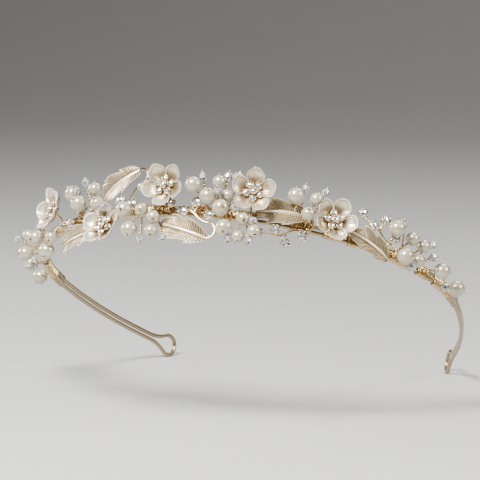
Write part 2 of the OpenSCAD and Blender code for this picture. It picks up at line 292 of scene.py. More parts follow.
@dataclass(frozen=True)
class CutStone:
    """Cut glass, with or without foil behind it, whose facets flash light and dark.

    The mesh carries a tone from 0, a dark facet, to 1, a bright one: painted reflections.
    """

    name: str
    foil: float
    clear: float
    dark: Colour = (0.015, 0.015, 0.02, 1)
    cool: Colour = (0.56, 0.57, 0.60, 1)
    bright: Colour = (1.0, 1.0, 1.0, 1)
    cloud: float = 700.0
    cloud_tone: Span = (-0.25, 0.25)
    roughness: Span = (0.03, 0.13)

    def material(self) -> bpy.types.Material:
        """Returns the material."""
        board = Board(self.name)
        facet = board.tone()
        cloud = board.noise(self.cloud)
        # Painted reflections: each facet's tone picks dark, grey or white from the ramp.
        shade = facet + cloud.over(self.cloud_tone)
        return board.finish({
            "Base Color": board.ramp(shade, (0.1, self.dark), (0.5, self.cool), (0.85, self.bright)),
            "Metallic": self.foil,
            "Transmission Weight": self.clear,
            "IOR": 1.6,
            "Roughness": cloud.over(self.roughness),
            "Coat Weight": 0.25,
            "Coat Roughness": 0.02,
        })


@dataclass(frozen=True)
class Backdrop:
    """Matt paper or felt, with a faint fibre."""

    name: str = "pale_paper"
    shade: Colour = (0.40, 0.396, 0.388, 1)
    fibre: float = 30.0
    fibre_shade: float = 0.985

    def material(self) -> bpy.types.Material:
        """Returns the material."""
        board = Board(self.name)
        red, green, blue = (self.fibre_shade * part for part in self.shade[:3])
        return board.finish({
            "Base Color": board.blend(board.noise(self.fibre), self.shade, (red, green, blue, 1)),
            "Roughness": 0.9,
        })


class Finishes:
    """Every finish of the tiara, each made once."""

    def __init__(self) -> None:
        """Makes the materials."""
        band = Plate("band_plate", (0.42, 0.32, 0.18, 1), (0.33, 0.24, 0.125, 1), (0.24, 0.36))
        thread = Plate("binding_plate", (0.78, 0.57, 0.29, 1), (0.48, 0.31, 0.13, 1), (0.16, 0.28))
        cup = Plate("setting_plate", (0.80, 0.63, 0.38, 1), (0.52, 0.36, 0.17, 1), (0.16, 0.28))
        self.by_slot = {
            Slot.BAND: band.material(),
            Slot.BINDING: thread.material(),
            Slot.SETTING: cup.material(),
            Slot.IVORY: Stamped().material(),
            Slot.PEARL: Pearly().material(),
            Slot.CRYSTAL: CutStone("foiled_stone", 0.8, 0.0).material(),
        }
        self.glass = CutStone("clear_glass", 0.1, 0.7).material()
        self.paper = Backdrop().material()
        self.felt = Backdrop("black_felt", (0.02, 0.02, 0.02, 1)).material()


# ----------------------------------------------------------------- meshes


class Work:
    """A mesh under construction, in millimetres."""

    def __init__(self) -> None:
        """Starts with nothing."""
        self.points: list[np.ndarray] = []
        self.tones: list[np.ndarray] = []
        self.faces: list[tuple[int, ...]] = []
        self.smooth: list[bool] = []
        self.count = 0

    def add(self, points: np.ndarray, faces: Iterable[Sequence[int]],
            tone: float | np.ndarray = 0.5, smooth: bool = True) -> None:
        """Adds a closed shape.

        Args:
            points: Its corners, one row each.
            faces: Its faces, as places in points.
            tone: Its tone, for the whole shape or for each corner.
            smooth: Whether its faces are shaded smooth.
        """
        points = np.asarray(points, float).reshape(-1, 3)
        made = [tuple(int(i) + self.count for i in face) for face in faces]
        self.points.append(points)
        self.tones.append(np.broadcast_to(np.asarray(tone, float), (len(points),)))
        self.faces.extend(made)
        self.smooth.extend([smooth] * len(made))
        self.count += len(points)

    def take(self, other: "Work", place: Matrix) -> None:
        """Adds another mesh, moved by a matrix; a mirror keeps it outside out."""
        if not other.points:
            return
        turn = np.array(place.to_3x3())
        points = np.vstack(other.points) @ turn.T + np.array(place.translation)
        order = slice(None, None, -1 if np.linalg.det(turn) < 0 else 1)
        self.points.append(points)
        self.tones.append(np.concatenate(other.tones))
        self.faces.extend(tuple(i + self.count for i in face[order]) for face in other.faces)
        self.smooth.extend(other.smooth)
        self.count += len(points)

    def piece(self, name: str, finishes: Finishes, slot: Slot, node: str,
              clear: bool = False) -> None:
        """Makes the mesh a piece of the tiara, in metres.

        Args:
            name: The piece's name.
            finishes: The finishes.
            slot: The record slot that it takes its finish from.
            node: The node of the frame that it stands for.
            clear: Whether it is clear glass, instead of the slot's own finish.
        """
        mesh = bpy.data.meshes.new(name)
        points = np.vstack(self.points) * MM
        mesh.from_pydata(points.tolist(), [], self.faces)
        mesh.polygons.foreach_set("use_smooth", self.smooth)
        tone = mesh.attributes.new("tone", "FLOAT", "POINT")
        tone.data.foreach_set("value", np.concatenate(self.tones).astype(np.float32))
        mesh.materials.append(finishes.glass if clear else finishes.by_slot[slot])
        mesh.update()
        made = bpy.data.objects.new(name, mesh)
        bpy.context.scene.collection.objects.link(made)
        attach(made, "root")
        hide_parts(node)
        LOG.info("%s: %d corners, %d faces", name, len(points), len(self.faces))


def unit(vector: np.ndarray) -> np.ndarray:
    """Returns a vector at length 1."""
    return vector / np.linalg.norm(vector)


def way(value: np.ndarray, start: float, end: float) -> np.ndarray:
    """Returns how far values are on the way from start to end, from 0 to 1."""
    return np.clip((value - start) / (end - start), 0, 1)


def bell(value: np.ndarray, middle: float, width: float) -> np.ndarray:
    """Returns 1 where values are at the middle, falling off smoothly on both sides."""
    return np.exp(-((value - middle) / width) ** 2)


def eased(count: int, ease: float) -> np.ndarray:
    """Returns places from -1 to 1 that crowd towards both ends, more so as ease nears 1."""
    steps = np.sin(np.linspace(-1, 1, count) * math.pi / 2 * ease)
    return steps / steps.max()


def grid_faces(rows: int, columns: int, close_rows: bool = False,
               close_columns: bool = False) -> list[tuple[int, int, int, int]]:
    """Joins the points of a grid with quads.

    Args:
        rows: Rows of points, held one after the other.
        columns: Points in a row.
        close_rows: Whether the last row joins the first.
        close_columns: Whether the last point of a row joins its first.

    Returns:
        The quads, as places in the grid.
    """
    faces = []
    for i in range(rows if close_rows else rows - 1):
        near, far = i * columns, (i + 1) % rows * columns
        for j in range(columns if close_columns else columns - 1):
            k = (j + 1) % columns
            faces.append((near + j, far + j, far + k, near + k))
    return faces


def tube(work: Work, path: np.ndarray, radius: float | np.ndarray, sides: int = 7,
         closed: bool = False, tone: float = 0.5) -> None:
    """Adds a round wire along a path.

    Args:
        work: The mesh that it joins.
        path: The points of its middle line.
        radius: Its radius, the same all along or one for each point.
        sides: Corners round it.
        closed: Whether its end joins its start.
        tone: Its tone.
    """
    path = np.asarray(path, float)
    total = len(path)
    ahead = np.roll(path, -1, 0) - np.roll(path, 1, 0)
    if not closed:
        ahead[0] = path[1] - path[0]
        ahead[-1] = path[-1] - path[-2]
    ahead /= np.linalg.norm(ahead, axis=1)[:, None]
    side = np.cross(ahead[0], (0, 0, 1) if abs(ahead[0][2]) < 0.9 else (1, 0, 0))
    angles = np.arange(sides) * TAU / sides
    radii = np.broadcast_to(np.asarray(radius, float), (total,))
    frames = []
    for heading in [*ahead, ahead[0]]:
        side = unit(side - heading * side.dot(heading))
        frames.append((side, np.cross(heading, side)))
    first, last = frames[0], frames.pop()
    twist = math.atan2(last[0].dot(first[1]), last[0].dot(first[0])) if closed else 0.0
    rings = []
    for i, (side, other) in enumerate(frames):
        turned_back = angles - twist * i / total
        spokes = np.outer(np.cos(turned_back), side) + np.outer(np.sin(turned_back), other)
        rings.append(path[i] + spokes * radii[i])
    faces = [(a, d, c, b) for a, b, c, d in grid_faces(total, sides, closed, True)]
    if not closed:
        faces.append(tuple(reversed(range(sides))))
        faces.append(tuple(range((total - 1) * sides, total * sides)))
    work.add(np.vstack(rings), faces, tone)


def turned(work: Work, profile: Callable[[float], np.ndarray], place: Matrix,
           sides: int = 32, tone: float = 0.5) -> None:
    """Adds a shape turned about +Z from a closed profile.

    Args:
        work: The mesh that it joins.
        profile: Gives the profile's (radius, height) rows at an angle.
        place: Where the shape goes.
        sides: Steps round it.
        tone: Its tone.
    """
    rows = [profile(i * TAU / sides) for i in range(sides)]
    deep = len(rows[0])
    points = []
    for i, row in enumerate(rows):
        angle = i * TAU / sides
        points += [(r * math.cos(angle), r * math.sin(angle), z) for r, z in row]
    made = Work()
    made.add(np.array(points), grid_faces(sides, deep, True, True), tone)
    work.take(made, place)


def skin(work: Work, face: np.ndarray, back: np.ndarray, tone: np.ndarray,
         place: Matrix, back_tones: Span = (0.3, 0.65)) -> None:
    """Adds a thin solid between two grids of points.

    Args:
        work: The mesh that it joins.
        face: Its outer side, as rows, columns and coordinates.
        back: Its inner side, in the same order.
        tone: The tone at each point of the face.
        place: Where it goes.
        back_tones: The tones of its back where the face's are 0 and 1.
    """
    rows, columns = face.shape[:2]
    size = rows * columns
    faces = []
    for quad in grid_faces(rows, columns):
        faces += [quad, tuple(size + k for k in reversed(quad))]
    last = (rows - 1) * columns
    border = [*range(columns), *range(2 * columns - 1, size, columns)]
    border += [*range(size - 2, last - 1, -1), *range(last - columns, 0, -columns)]
    for a, b in zip(border, border[1:] + border[:1]):
        faces.append((a, b, size + b, size + a))
    made = Work()
    both = np.vstack((face.reshape(-1, 3), back.reshape(-1, 3)))
    low, high = back_tones
    made.add(both, faces, np.concatenate((tone.ravel(), tone.ravel() * (high - low) + low)))
    work.take(made, place)


def bend_path(start: Sequence[float], bends: Sequence[tuple[float, float]],
              step: float = 9.0) -> np.ndarray:
    """Follows a chain of bends in a plane, setting off along +X.

    Args:
        start: The first point, along and across.
        bends: The radius and the angle of each bend, positive to the left.
        step: The most degrees between two points.

    Returns:
        The points along the chain.
    """
    x, y = start
    heading, path = 0.0, [(x, y)]
    for radius, degrees in bends:
        side = math.copysign(1, degrees)
        middle_x = x - side * radius * math.sin(heading)
        middle_y = y + side * radius * math.cos(heading)
        steps = max(5, int(abs(degrees) / step))
        for i in range(1, steps + 1):
            angle = heading + math.radians(degrees) * i / steps
            x = middle_x + side * radius * math.sin(angle)
            y = middle_y - side * radius * math.cos(angle)
            path.append((x, y))
        heading += math.radians(degrees)
    return np.array(path)


def move(x: float, y: float, z: float) -> Matrix:
    """Returns a matrix that moves by x, y and z."""
    return Matrix.Translation((x, y, z))


def aim(point: np.ndarray, direction: np.ndarray, spin: float = 0.0) -> Matrix:
    """Returns a matrix that stands +Z on a point, along a direction."""
    turn = Vector(direction).to_track_quat("Z", "Y").to_matrix().to_4x4()
    return Matrix.Translation(Vector(point)) @ turn @ Matrix.Rotation(spin, 4, "Z")


# ------------------------------------------------------- reading the frame


class Reader:
    """Reads places from the nodes of the frame, in millimetres."""

    crown_half = math.radians(40)
    longest_stem = 25.0

    def __init__(self, record: dict) -> None:
        """Finds the band's plane and radius.

        Args:
            record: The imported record, whose head_seat mount is the middle of
                the band's arc and points across the band.
        """
        seat = next(m for m in record["mounts"] if m["name"] == "head_seat")
        self.centre = np.array(seat["pos_m"]) / MM
        self.across = unit(np.array(seat["axis"]))
        self.right = np.array((1.0, 0.0, 0.0))
        self.back = np.cross(self.across, self.right)
        spots = self.points("band_wire")
        angle, across, out = self.on_band(spots)
        crown = np.abs(angle) < self.crown_half
        self.radius = float((out[crown].max() + out[crown].min()) / 2)
        self.wire_radius = float(np.ptp(out[crown]) / 2)
        self.pitch = float(np.ptp(across[crown])) - 2 * self.wire_radius

    @staticmethod
    def points(node: str) -> np.ndarray:
        """Returns a node's corners."""
        mesh = frame["nodes"][node].data
        flat = np.zeros(len(mesh.vertices) * 3, np.float32)
        mesh.vertices.foreach_get("co", flat)
        return flat.reshape(-1, 3).astype(float) / MM

    def on_band(self, points: np.ndarray) -> tuple[np.ndarray, np.ndarray, np.ndarray]:
        """Returns points' angles from the crown, places across, and radii."""
        local = np.atleast_2d(points) - self.centre
        x, y = local @ self.right, local @ self.back
        return np.arctan2(x, -y), local @ self.across, np.hypot(x, y)

    def at(self, angle: float, across: float, out: float) -> np.ndarray:
        """Returns the point at an angle, a place across and a height off the band."""
        reach = self.radius + out
        flat = self.right * math.sin(angle) - self.back * math.cos(angle)
        return self.centre + flat * reach + self.across * across

    def lift(self, flat: np.ndarray) -> np.ndarray:
        """Returns the frame's points for points given right, back and across the band."""
        return self.centre + flat @ np.array((self.right, self.back, self.across))

    def outward(self, point: np.ndarray) -> np.ndarray:
        """Returns the direction straight out from the band at a point."""
        angle = float(self.on_band(point)[0][0])
        return self.right * math.sin(angle) - self.back * math.cos(angle)

    def solids(self, node: str) -> list[tuple[np.ndarray, np.ndarray]]:
        """Splits a node into its separate solids.

        Args:
            node: The node's name.

        Returns:
            For each solid, its corners and its edges as pairs of points.
        """
        mesh = frame["nodes"][node].data
        points = self.points(node)
        _, same = np.unique(np.round(points, 4), axis=0, return_inverse=True)
        same = same.ravel()
        ends = np.zeros(len(mesh.edges) * 2, np.int32)
        mesh.edges.foreach_get("vertices", ends)
        ends = ends.reshape(-1, 2)
        label = np.arange(same.max() + 1)
        a, b = same[ends[:, 0]], same[ends[:, 1]]
        while True:
            low = np.minimum(label[a], label[b])
            before = label.copy()
            np.minimum.at(label, a, low)
            np.minimum.at(label, b, low)
            label = label[label]
            if (label == before).all():
                break
        groups = label[same]
        found = []
        for group in np.unique(groups):
            inside = groups[ends[:, 0]] == group
            found.append((points[groups == group], points[ends[inside]]))
        return found

    def beads(self, node: str) -> list["Bead"]:
        """Reads the drilled beads of a node, each on the stem that it is threaded on."""
        found = []
        for corners, edges in self.solids(node):
            middle = (corners.max(0) + corners.min(0)) / 2
            runs = edges[:, 1] - edges[:, 0]
            lengths = np.linalg.norm(runs, axis=1)
            longest = runs[lengths > 0.93 * lengths.max()]
            longest *= np.sign(longest @ longest[0])[:, None]
            axis = unit(longest.sum(0))
            if axis @ self.outward(middle) < 0:
                axis = -axis
            radius = float(np.linalg.norm(corners - middle, axis=1).max())
            found.append(Bead(middle, axis, radius, self._foot(middle, axis)))
        return found

    def _foot(self, middle: np.ndarray, axis: np.ndarray) -> np.ndarray:
        """Returns the point of a bead's stem that lies nearest the band's wires."""
        line = middle - np.outer(np.linspace(0, self.longest_stem, 501), axis)
        _, across, out = self.on_band(line)
        return line[np.argmin(np.hypot(across, out - self.radius - self.wire_radius))]


@dataclass(frozen=True)
class Bead:
    """A drilled bead on its stem."""

    middle: np.ndarray
    axis: np.ndarray
    radius: float
    foot: np.ndarray


def fit_pattern(found: np.ndarray, pattern: np.ndarray, outward: np.ndarray,
                mirrored: bool) -> Matrix:
    """Finds how a flat pattern of stones lies in the frame.

    Args:
        found: The stones' middles in the frame, in any order.
        pattern: Their middles in the pattern, facing +Z.
        outward: A direction that the pattern roughly faces.
        mirrored: Whether the pattern may also be turned over about X.

    Returns:
        The matrix from the pattern to the frame.
    """
    best, best_error = None, 1e9
    for flip in (1, -1) if mirrored else (1,):
        flipped = pattern * (1, flip, 1)
        start = flipped - flipped.mean(0)
        for order in permutations(range(len(found))):
            goal = found[list(order)]
            left, _, right = np.linalg.svd(start.T @ (goal - goal.mean(0)))
            sign = np.sign(np.linalg.det(left @ right))
            turn = (left @ np.diag((1, 1, sign)) @ right).T
            error = np.abs(start @ turn.T - goal + goal.mean(0)).max()
            if error < best_error - 1e-4 and turn[:, 2] @ outward > 0:
                full = np.eye(4)
                full[:3, :3] = turn @ np.diag((1, flip, 1))
                full[:3, 3] = goal.mean(0) - turn @ flipped.mean(0)
                best, best_error = full, error
    if best is None or best_error > 0.3:
        raise RuntimeError(f"the stones don't match their pattern: {best_error:.2f} mm off")
    return Matrix(best.tolist())


# -------------------------------------------------------------- small parts


@dataclass(frozen=True)
class Cup:
    """A conical cup whose claws hold a stone, with the stone's widest line at z = 0."""

    stone_d: float
    claws: int
    wall: float = 0.2
    depth: float = 1.5
    foot: float = 0.55
    drain: float = 0.2
    lip: float = 0.08
    claw_rise: float = 0.18
    claw_lean: float = 0.12

    def build(self, work: Work, place: Matrix) -> None:
        """Adds the cup, whose sizes but for its wall are shares of the stone's radius."""
        reach = self.stone_d / 2
        rim = reach + self.wall

        def profile(angle: float) -> list[Span]:
            """Gives the cup's section at an angle."""
            claw = max(0.0, math.cos(self.claws * angle)) ** 3
            lip = (self.lip + self.claw_rise * claw) * reach
            lean = self.claw_lean * reach * claw
            outside = [
                (self.drain * reach, -self.depth * reach), (self.foot * reach, -self.depth * reach),
                (0.62 * reach, -1.36 * reach), (0.9 * reach, -0.4 * reach), (rim, -0.12 * reach),
                (rim + 0.02, 0.0), (rim - 0.05 - lean / 2, lip + 0.05),
            ]
            inside = [
                (reach - lean, lip + 0.06), (reach + 0.02 - lean, lip), (reach + 0.03, -0.02),
                (0.9 * reach, -0.16 * reach), (self.drain * reach, -0.9 * reach),
            ]
            return outside + inside

        turned(work, profile, place, sides=8 * self.claws)


@dataclass(frozen=True)
class Brilliant:
    """A round stone cut with a table, kites and stars, widest at z = 0."""

    width: float
    crown: float = 0.22
    pavilion: float = 0.42
    table: float = 0.56
    star: float = 0.83
    girdle: float = 0.02
    peak: float = 0.045

    def build(self, work: Work, place: Matrix) -> None:
        """Adds the stone, whose heights are shares of its width."""
        reach, width = self.width / 2, self.width
        rows = [
            (8, 0.0, self.table * reach, self.crown * width),
            (8, 0.5, self.star * reach, 0.6 * self.crown * width),
            (16, 0.0, reach, self.girdle * width),
            (16, 0.0, reach, -self.girdle * width),
            (1, 0.0, 0.0, -self.pavilion * width),
            (1, 0.0, 0.0, (self.crown + self.peak) * width),
        ]
        points = []
        for count, shift, radius, height in rows:
            for i in range(count):
                angle = (i + shift) * TAU / count
                points.append((radius * math.cos(angle), radius * math.sin(angle), height))
        table, star, top, low, tip, middle = 0, 8, 16, 32, 48, 49
        # Painted reflections: the corners alternate dark and bright, so the facets flash.
        tones = [0.1, 0.8] * 4 + [0.95, 0.4] * 4 + [0.15, 1.0] * 16 + [0.5, 1.0]
        faces = []
        for i in range(8):
            j, left, right = (i + 1) % 8, 2 * i + 1, (2 * i + 2) % 16
            faces.append((middle, table + i, table + j))
            faces.append((table + i, star + i, table + j))
            faces.append((table + j, star + i, top + right, star + j))
            faces.append((star + i, top + 2 * i, top + left))
            faces.append((star + i, top + left, top + right))
        for i in range(16):
            j = (i + 1) % 16
            faces.append((top + i, low + i, low + j, top + j))
            faces.append((low + i, tip, low + j))
        made = Work()
        made.add(np.array(points), faces, np.array(tones), smooth=False)
        spin = sum(place.translation) % TAU
        work.take(made, place @ Matrix.Rotation(spin, 4, "Z"))


@dataclass(frozen=True)
class PearlBead:
    """A drilled pearl."""

    hole_r: float = 0.5
    lip: float = 0.12

    def build(self, work: Work, bead: Bead) -> None:
        """Adds the pearl on its stem's line."""
        start = math.asin((self.hole_r + self.lip) / bead.radius)
        sweep = np.linspace(start, math.pi - start, 26)
        row = [(bead.radius * math.sin(a), bead.radius * math.cos(a)) for a in sweep]
        rim = row[-1][1]
        row += [(self.hole_r, rim + self.lip * 0.4), (self.hole_r, -rim - self.lip * 0.4)]
        turned(work, lambda _: row, aim(bead.middle, bead.axis), sides=36)


@dataclass(frozen=True)
class GlassBead:
    """A drilled bead cut as two cones of flat facets."""

    sides: int = 9
    hole_r: float = 0.5
    end: float = 0.52
    half: float = 0.92
    waist: float = 0.08
    sink: float = 0.9

    def build(self, work: Work, bead: Bead) -> None:
        """Adds the bead on its stem's line."""
        wide, end, half = bead.radius, bead.radius * self.end, bead.radius * self.half
        levels = [(end, half), (wide, self.waist), (wide, -self.waist), (end, -half)]
        levels += [(self.hole_r, -half * self.sink), (self.hole_r, half * self.sink)]
        points, faces = [], []
        for level, (radius, height) in enumerate(levels):
            for i in range(self.sides):
                angle = (i + 0.5 * (level in (1, 2))) * TAU / self.sides
                points.append((radius * math.cos(angle), radius * math.sin(angle), height))
        for level in range(len(levels)):
            near, far = level * self.sides, (level + 1) % len(levels) * self.sides
            for i in range(self.sides):
                j = (i + 1) % self.sides
                if level == 0:
                    faces += [(near + i, far + i, near + j), (near + j, far + i, far + j)]
                elif level == 2:
                    faces += [(near + i, far + i, far + j), (near + i, far + j, near + j)]
                else:
                    faces.append((near + i, far + i, far + j, near + j))
        # Painted reflections: the waist's corners alternate dark and bright, the ends are bright.
        waist = [0.1 + 0.9 * (i % 2) for i in range(self.sides, 3 * self.sides)]
        tones = [0.9] * self.sides + waist + [0.9] * self.sides + [0.5] * 2 * self.sides
        made = Work()
        made.add(np.array(points), faces, np.array(tones), smooth=False)
        work.take(made, aim(bead.middle, bead.axis, float(bead.middle[0])))


@dataclass(frozen=True)
class TwistedStem:
    """One thin wire, doubled over at the tip and twisted down to the foot."""

    strand_r: float = 0.2
    turn_length: float = 1.9
    tail: float = 0.42
    points_per_turn: int = 12

    def build(self, work: Work, foot: np.ndarray, axis: np.ndarray, length: float) -> None:
        """Adds a stem.

        Args:
            work: The mesh that it joins.
            foot: The point where it leaves the band.
            axis: The direction that it stands in.
            length: Its length without the loop at its tip.
        """
        steps = max(6, int(length / self.turn_length * self.points_per_turn))
        rise = np.linspace(0, length, steps)
        angle = rise / self.turn_length * TAU
        up = np.column_stack((np.cos(angle), np.sin(angle), np.zeros(steps))) * self.strand_r
        up[:, 2] = rise
        down = (up * (-1, -1, 1))[::-1]
        bends = np.linspace(0, math.pi, 7)[1:-1]
        over = np.array((math.cos(angle[-1]), math.sin(angle[-1]))) * self.strand_r
        loop = np.column_stack((np.outer(np.cos(bends), over), length + self.tail * np.sin(bends)))
        path = np.vstack((up, loop, down))
        place = aim(foot, axis)
        turn = np.array(place.to_3x3())
        tube(work, path @ turn.T + foot, self.strand_r * 0.97, sides=6)


# ------------------------------------------------------------ sub-assemblies


def round_pair(lane: float, reach: float, along: float) -> Span:
    """Follows a line drawn tight round two parallel wires.

    Args:
        lane: Half the distance between the wires.
        reach: The line's distance from the middle of the nearer wire.
        along: The distance along it, from over the first wire round its outer side.

    Returns:
        The place across and out.
    """
    half_turn = math.pi * reach
    along %= 2 * half_turn + 4 * lane
    if along < half_turn:
        angle = along / reach
        return lane + reach * math.sin(angle), reach * math.cos(angle)
    along -= half_turn
    if along < 2 * lane:
        return lane - along, -reach
    along -= 2 * lane
    if along < half_turn:
        angle = along / reach
        return -lane - reach * math.sin(angle), -reach * math.cos(angle)
    return along - half_turn - lane, reach


def seat_pattern(reader: Reader, node: str, pattern: np.ndarray, stone_d: float,
                 mirrored: bool) -> Matrix:
    """Reads where a pattern of stones lies from the stones in the frame.

    Args:
        reader: The reader of the frame.
        node: The node that holds the stones.
        pattern: The stones' middles in the pattern, facing +Z.
        stone_d: The width of a stone.
        mirrored: Whether the pattern may also be turned over.

    Returns:
        The matrix from the pattern to the frame.
    """
    solids = [corners for corners, _ in reader.solids(node)]
    middles = np.array([np.unique(corners.round(3), axis=0).mean(0) for corners in solids])
    place = fit_pattern(middles, pattern, reader.outward(middles.mean(0)), mirrored)
    inverse = np.array(place.inverted())
    heights = np.vstack(solids) @ inverse[2, :3] + inverse[2, 3]
    top = pattern[:, 2].max() + Brilliant.crown * stone_d
    return place @ move(0, 0, float(heights.max() - top))


def set_stones(metal: Work, stones: Work, place: Matrix, pattern: np.ndarray,
               stone_d: float, claws: int) -> None:
    """Adds a cup and its stone at every point of a pattern."""
    for point in pattern:
        spot = place @ Matrix.Translation(point)
        Cup(stone_d, claws).build(metal, spot)
        Brilliant(stone_d).build(stones, spot)


@dataclass
class Band:
    """The band: one wire bent into two parallel runs with a loop at each end."""

    arc_half: float = 93.0
    leg_r: float = 160.0
    leg_angle: float = 21.0
    fork_r: float = 15.0
    loop_r: float = 3.6
    sides: int = 16
    arc_steps: int = 76
    leg_steps: int = 26

    def half(self, reader: Reader) -> np.ndarray:
        """Returns the wire's middle line from the crown round the right loop and back."""
        lane = reader.pitch / 2
        arc = np.radians(np.linspace(0, self.arc_half, self.arc_steps))
        run = np.column_stack((np.sin(arc), -np.cos(arc))) * reader.radius
        leg = np.linspace(self.arc_half, self.arc_half + self.leg_angle, self.leg_steps)
        leg = np.radians(leg)[1:]
        middle = run[-1] * (1 - self.leg_r / reader.radius)
        turned_leg = np.column_stack((np.sin(leg), -np.cos(leg))) * self.leg_r
        run = np.vstack((run, middle + turned_leg))
        ahead = np.array((math.cos(leg[-1]), math.sin(leg[-1])))
        spread = math.degrees(math.acos((lane + self.fork_r) / (self.fork_r + self.loop_r)))
        bends = ((self.fork_r, spread), (self.loop_r, -180 - 2 * spread), (self.fork_r, spread))
        loop = bend_path((0, lane), bends, 6.0)[1:-1]
        loop = np.column_stack((run[-1] + loop[:, :1] * ahead, loop[:, 1]))
        upper = np.column_stack((run, np.full(len(run), lane)))
        return np.vstack((upper, loop, (upper * (1, 1, -1))[::-1]))

    def build(self, reader: Reader, finishes: Finishes) -> None:
        """Bends the wire and crimps its two sleeves."""
        right = self.half(reader)
        left = (right * (-1, 1, 1))[::-1]
        path = reader.lift(np.vstack((right, left[1:-1])))
        work = Work()
        tube(work, path, reader.wire_radius, self.sides, closed=True)
        work.piece("band_run", finishes, Slot.BAND, "band_wire")
        for side in ("left", "right"):
            Sleeve(side).build(reader, finishes)


@dataclass
class Sleeve:
    """A sleeve crimped round both wires, with its seam on the inside of the band."""

    side: str
    gap: float = 0.1
    wall: float = 0.45
    seam: float = 0.4
    dent: float = 0.13
    crimps: Span = (0.28, 0.72)
    crimp_width: float = 0.07
    worn: float = 0.16
    worn_share: float = 0.02
    columns: int = 49
    rows: int = 41

    def section(self, reader: Reader, distance: float) -> np.ndarray:
        """Returns points round the pair of wires, across and out, from seam to seam."""
        reach, lane = reader.wire_radius + distance, reader.pitch / 2
        around = TAU * reach + 4 * lane
        steps = np.linspace(self.seam / 2, around - self.seam / 2, self.columns)
        return np.array([round_pair(lane, reach, along - lane) for along in steps]) * (1, -1)

    def build(self, reader: Reader, finishes: Finishes) -> None:
        """Crimps the sleeve."""
        node = f"{self.side}_ferrule"
        angles = reader.on_band(reader.points(node))[0]
        face, back = [], []
        for share in np.linspace(0, 1, self.rows):
            angle = angles.min() + np.ptp(angles) * share
            crimp = sum(bell(share, spot, self.crimp_width) for spot in self.crimps)
            ends = (share, 1 - share)
            worn = sum(math.exp(-end / self.worn_share) for end in ends)
            shrink = self.dent * crimp + self.worn * worn
            outer = self.section(reader, self.gap + self.wall - shrink)
            inner = self.section(reader, self.gap)
            face.append([reader.at(angle, across, out) for across, out in outer])
            back.append([reader.at(angle, across, out) for across, out in inner])
        work = Work()
        tone = np.full((self.rows, self.columns), 0.5)
        skin(work, np.array(face), np.array(back), tone, Matrix.Identity(4))
        work.piece(f"{self.side}_sleeve", finishes, Slot.BAND, node)


@dataclass
class Binding:
    """Thin wire wound round both wires of the band, in many short runs."""

    wire_r: float = 0.2
    gap: float = 0.05
    pitch: float = 0.43
    drift: float = 0.06
    swell: float = 0.02
    points_per_turn: int = 18

    def runs(self, reader: Reader) -> list[tuple[float, float]]:
        """Returns the angles between which the frame has binding."""
        found = []
        for corners, _ in reader.solids("binding_wire"):
            angle = reader.on_band(corners)[0]
            found.append((float(angle.min()), float(angle.max())))
        return sorted(found)

    def build(self, reader: Reader, finishes: Finishes) -> None:
        """Winds every run."""
        work = Work()
        lane, reach = reader.pitch / 2, reader.wire_radius + self.gap + self.wire_r
        around = TAU * reach + 4 * lane
        inset = self.wire_r / reader.radius
        for start, end in self.runs(reader):
            sweep = end - start - 2 * inset
            turns = max(2, round(sweep * reader.radius / self.pitch))
            path = []
            for turn in np.linspace(0, turns, turns * self.points_per_turn + 1):
                across, out = round_pair(lane, reach, turn * around)
                drift = self.drift * math.sin(turn * 1.7 + start * 9) / reader.radius
                swell = 1 + self.swell * math.sin(turn * 2.3 + end * 7)
                angle = start + inset + sweep * turn / turns
                path.append(reader.at(angle + drift, across * swell, out * swell))
            tube(work, np.array(path), self.wire_r, sides=6)
        work.piece("binding_turns", finishes, Slot.BINDING, "binding_wire")


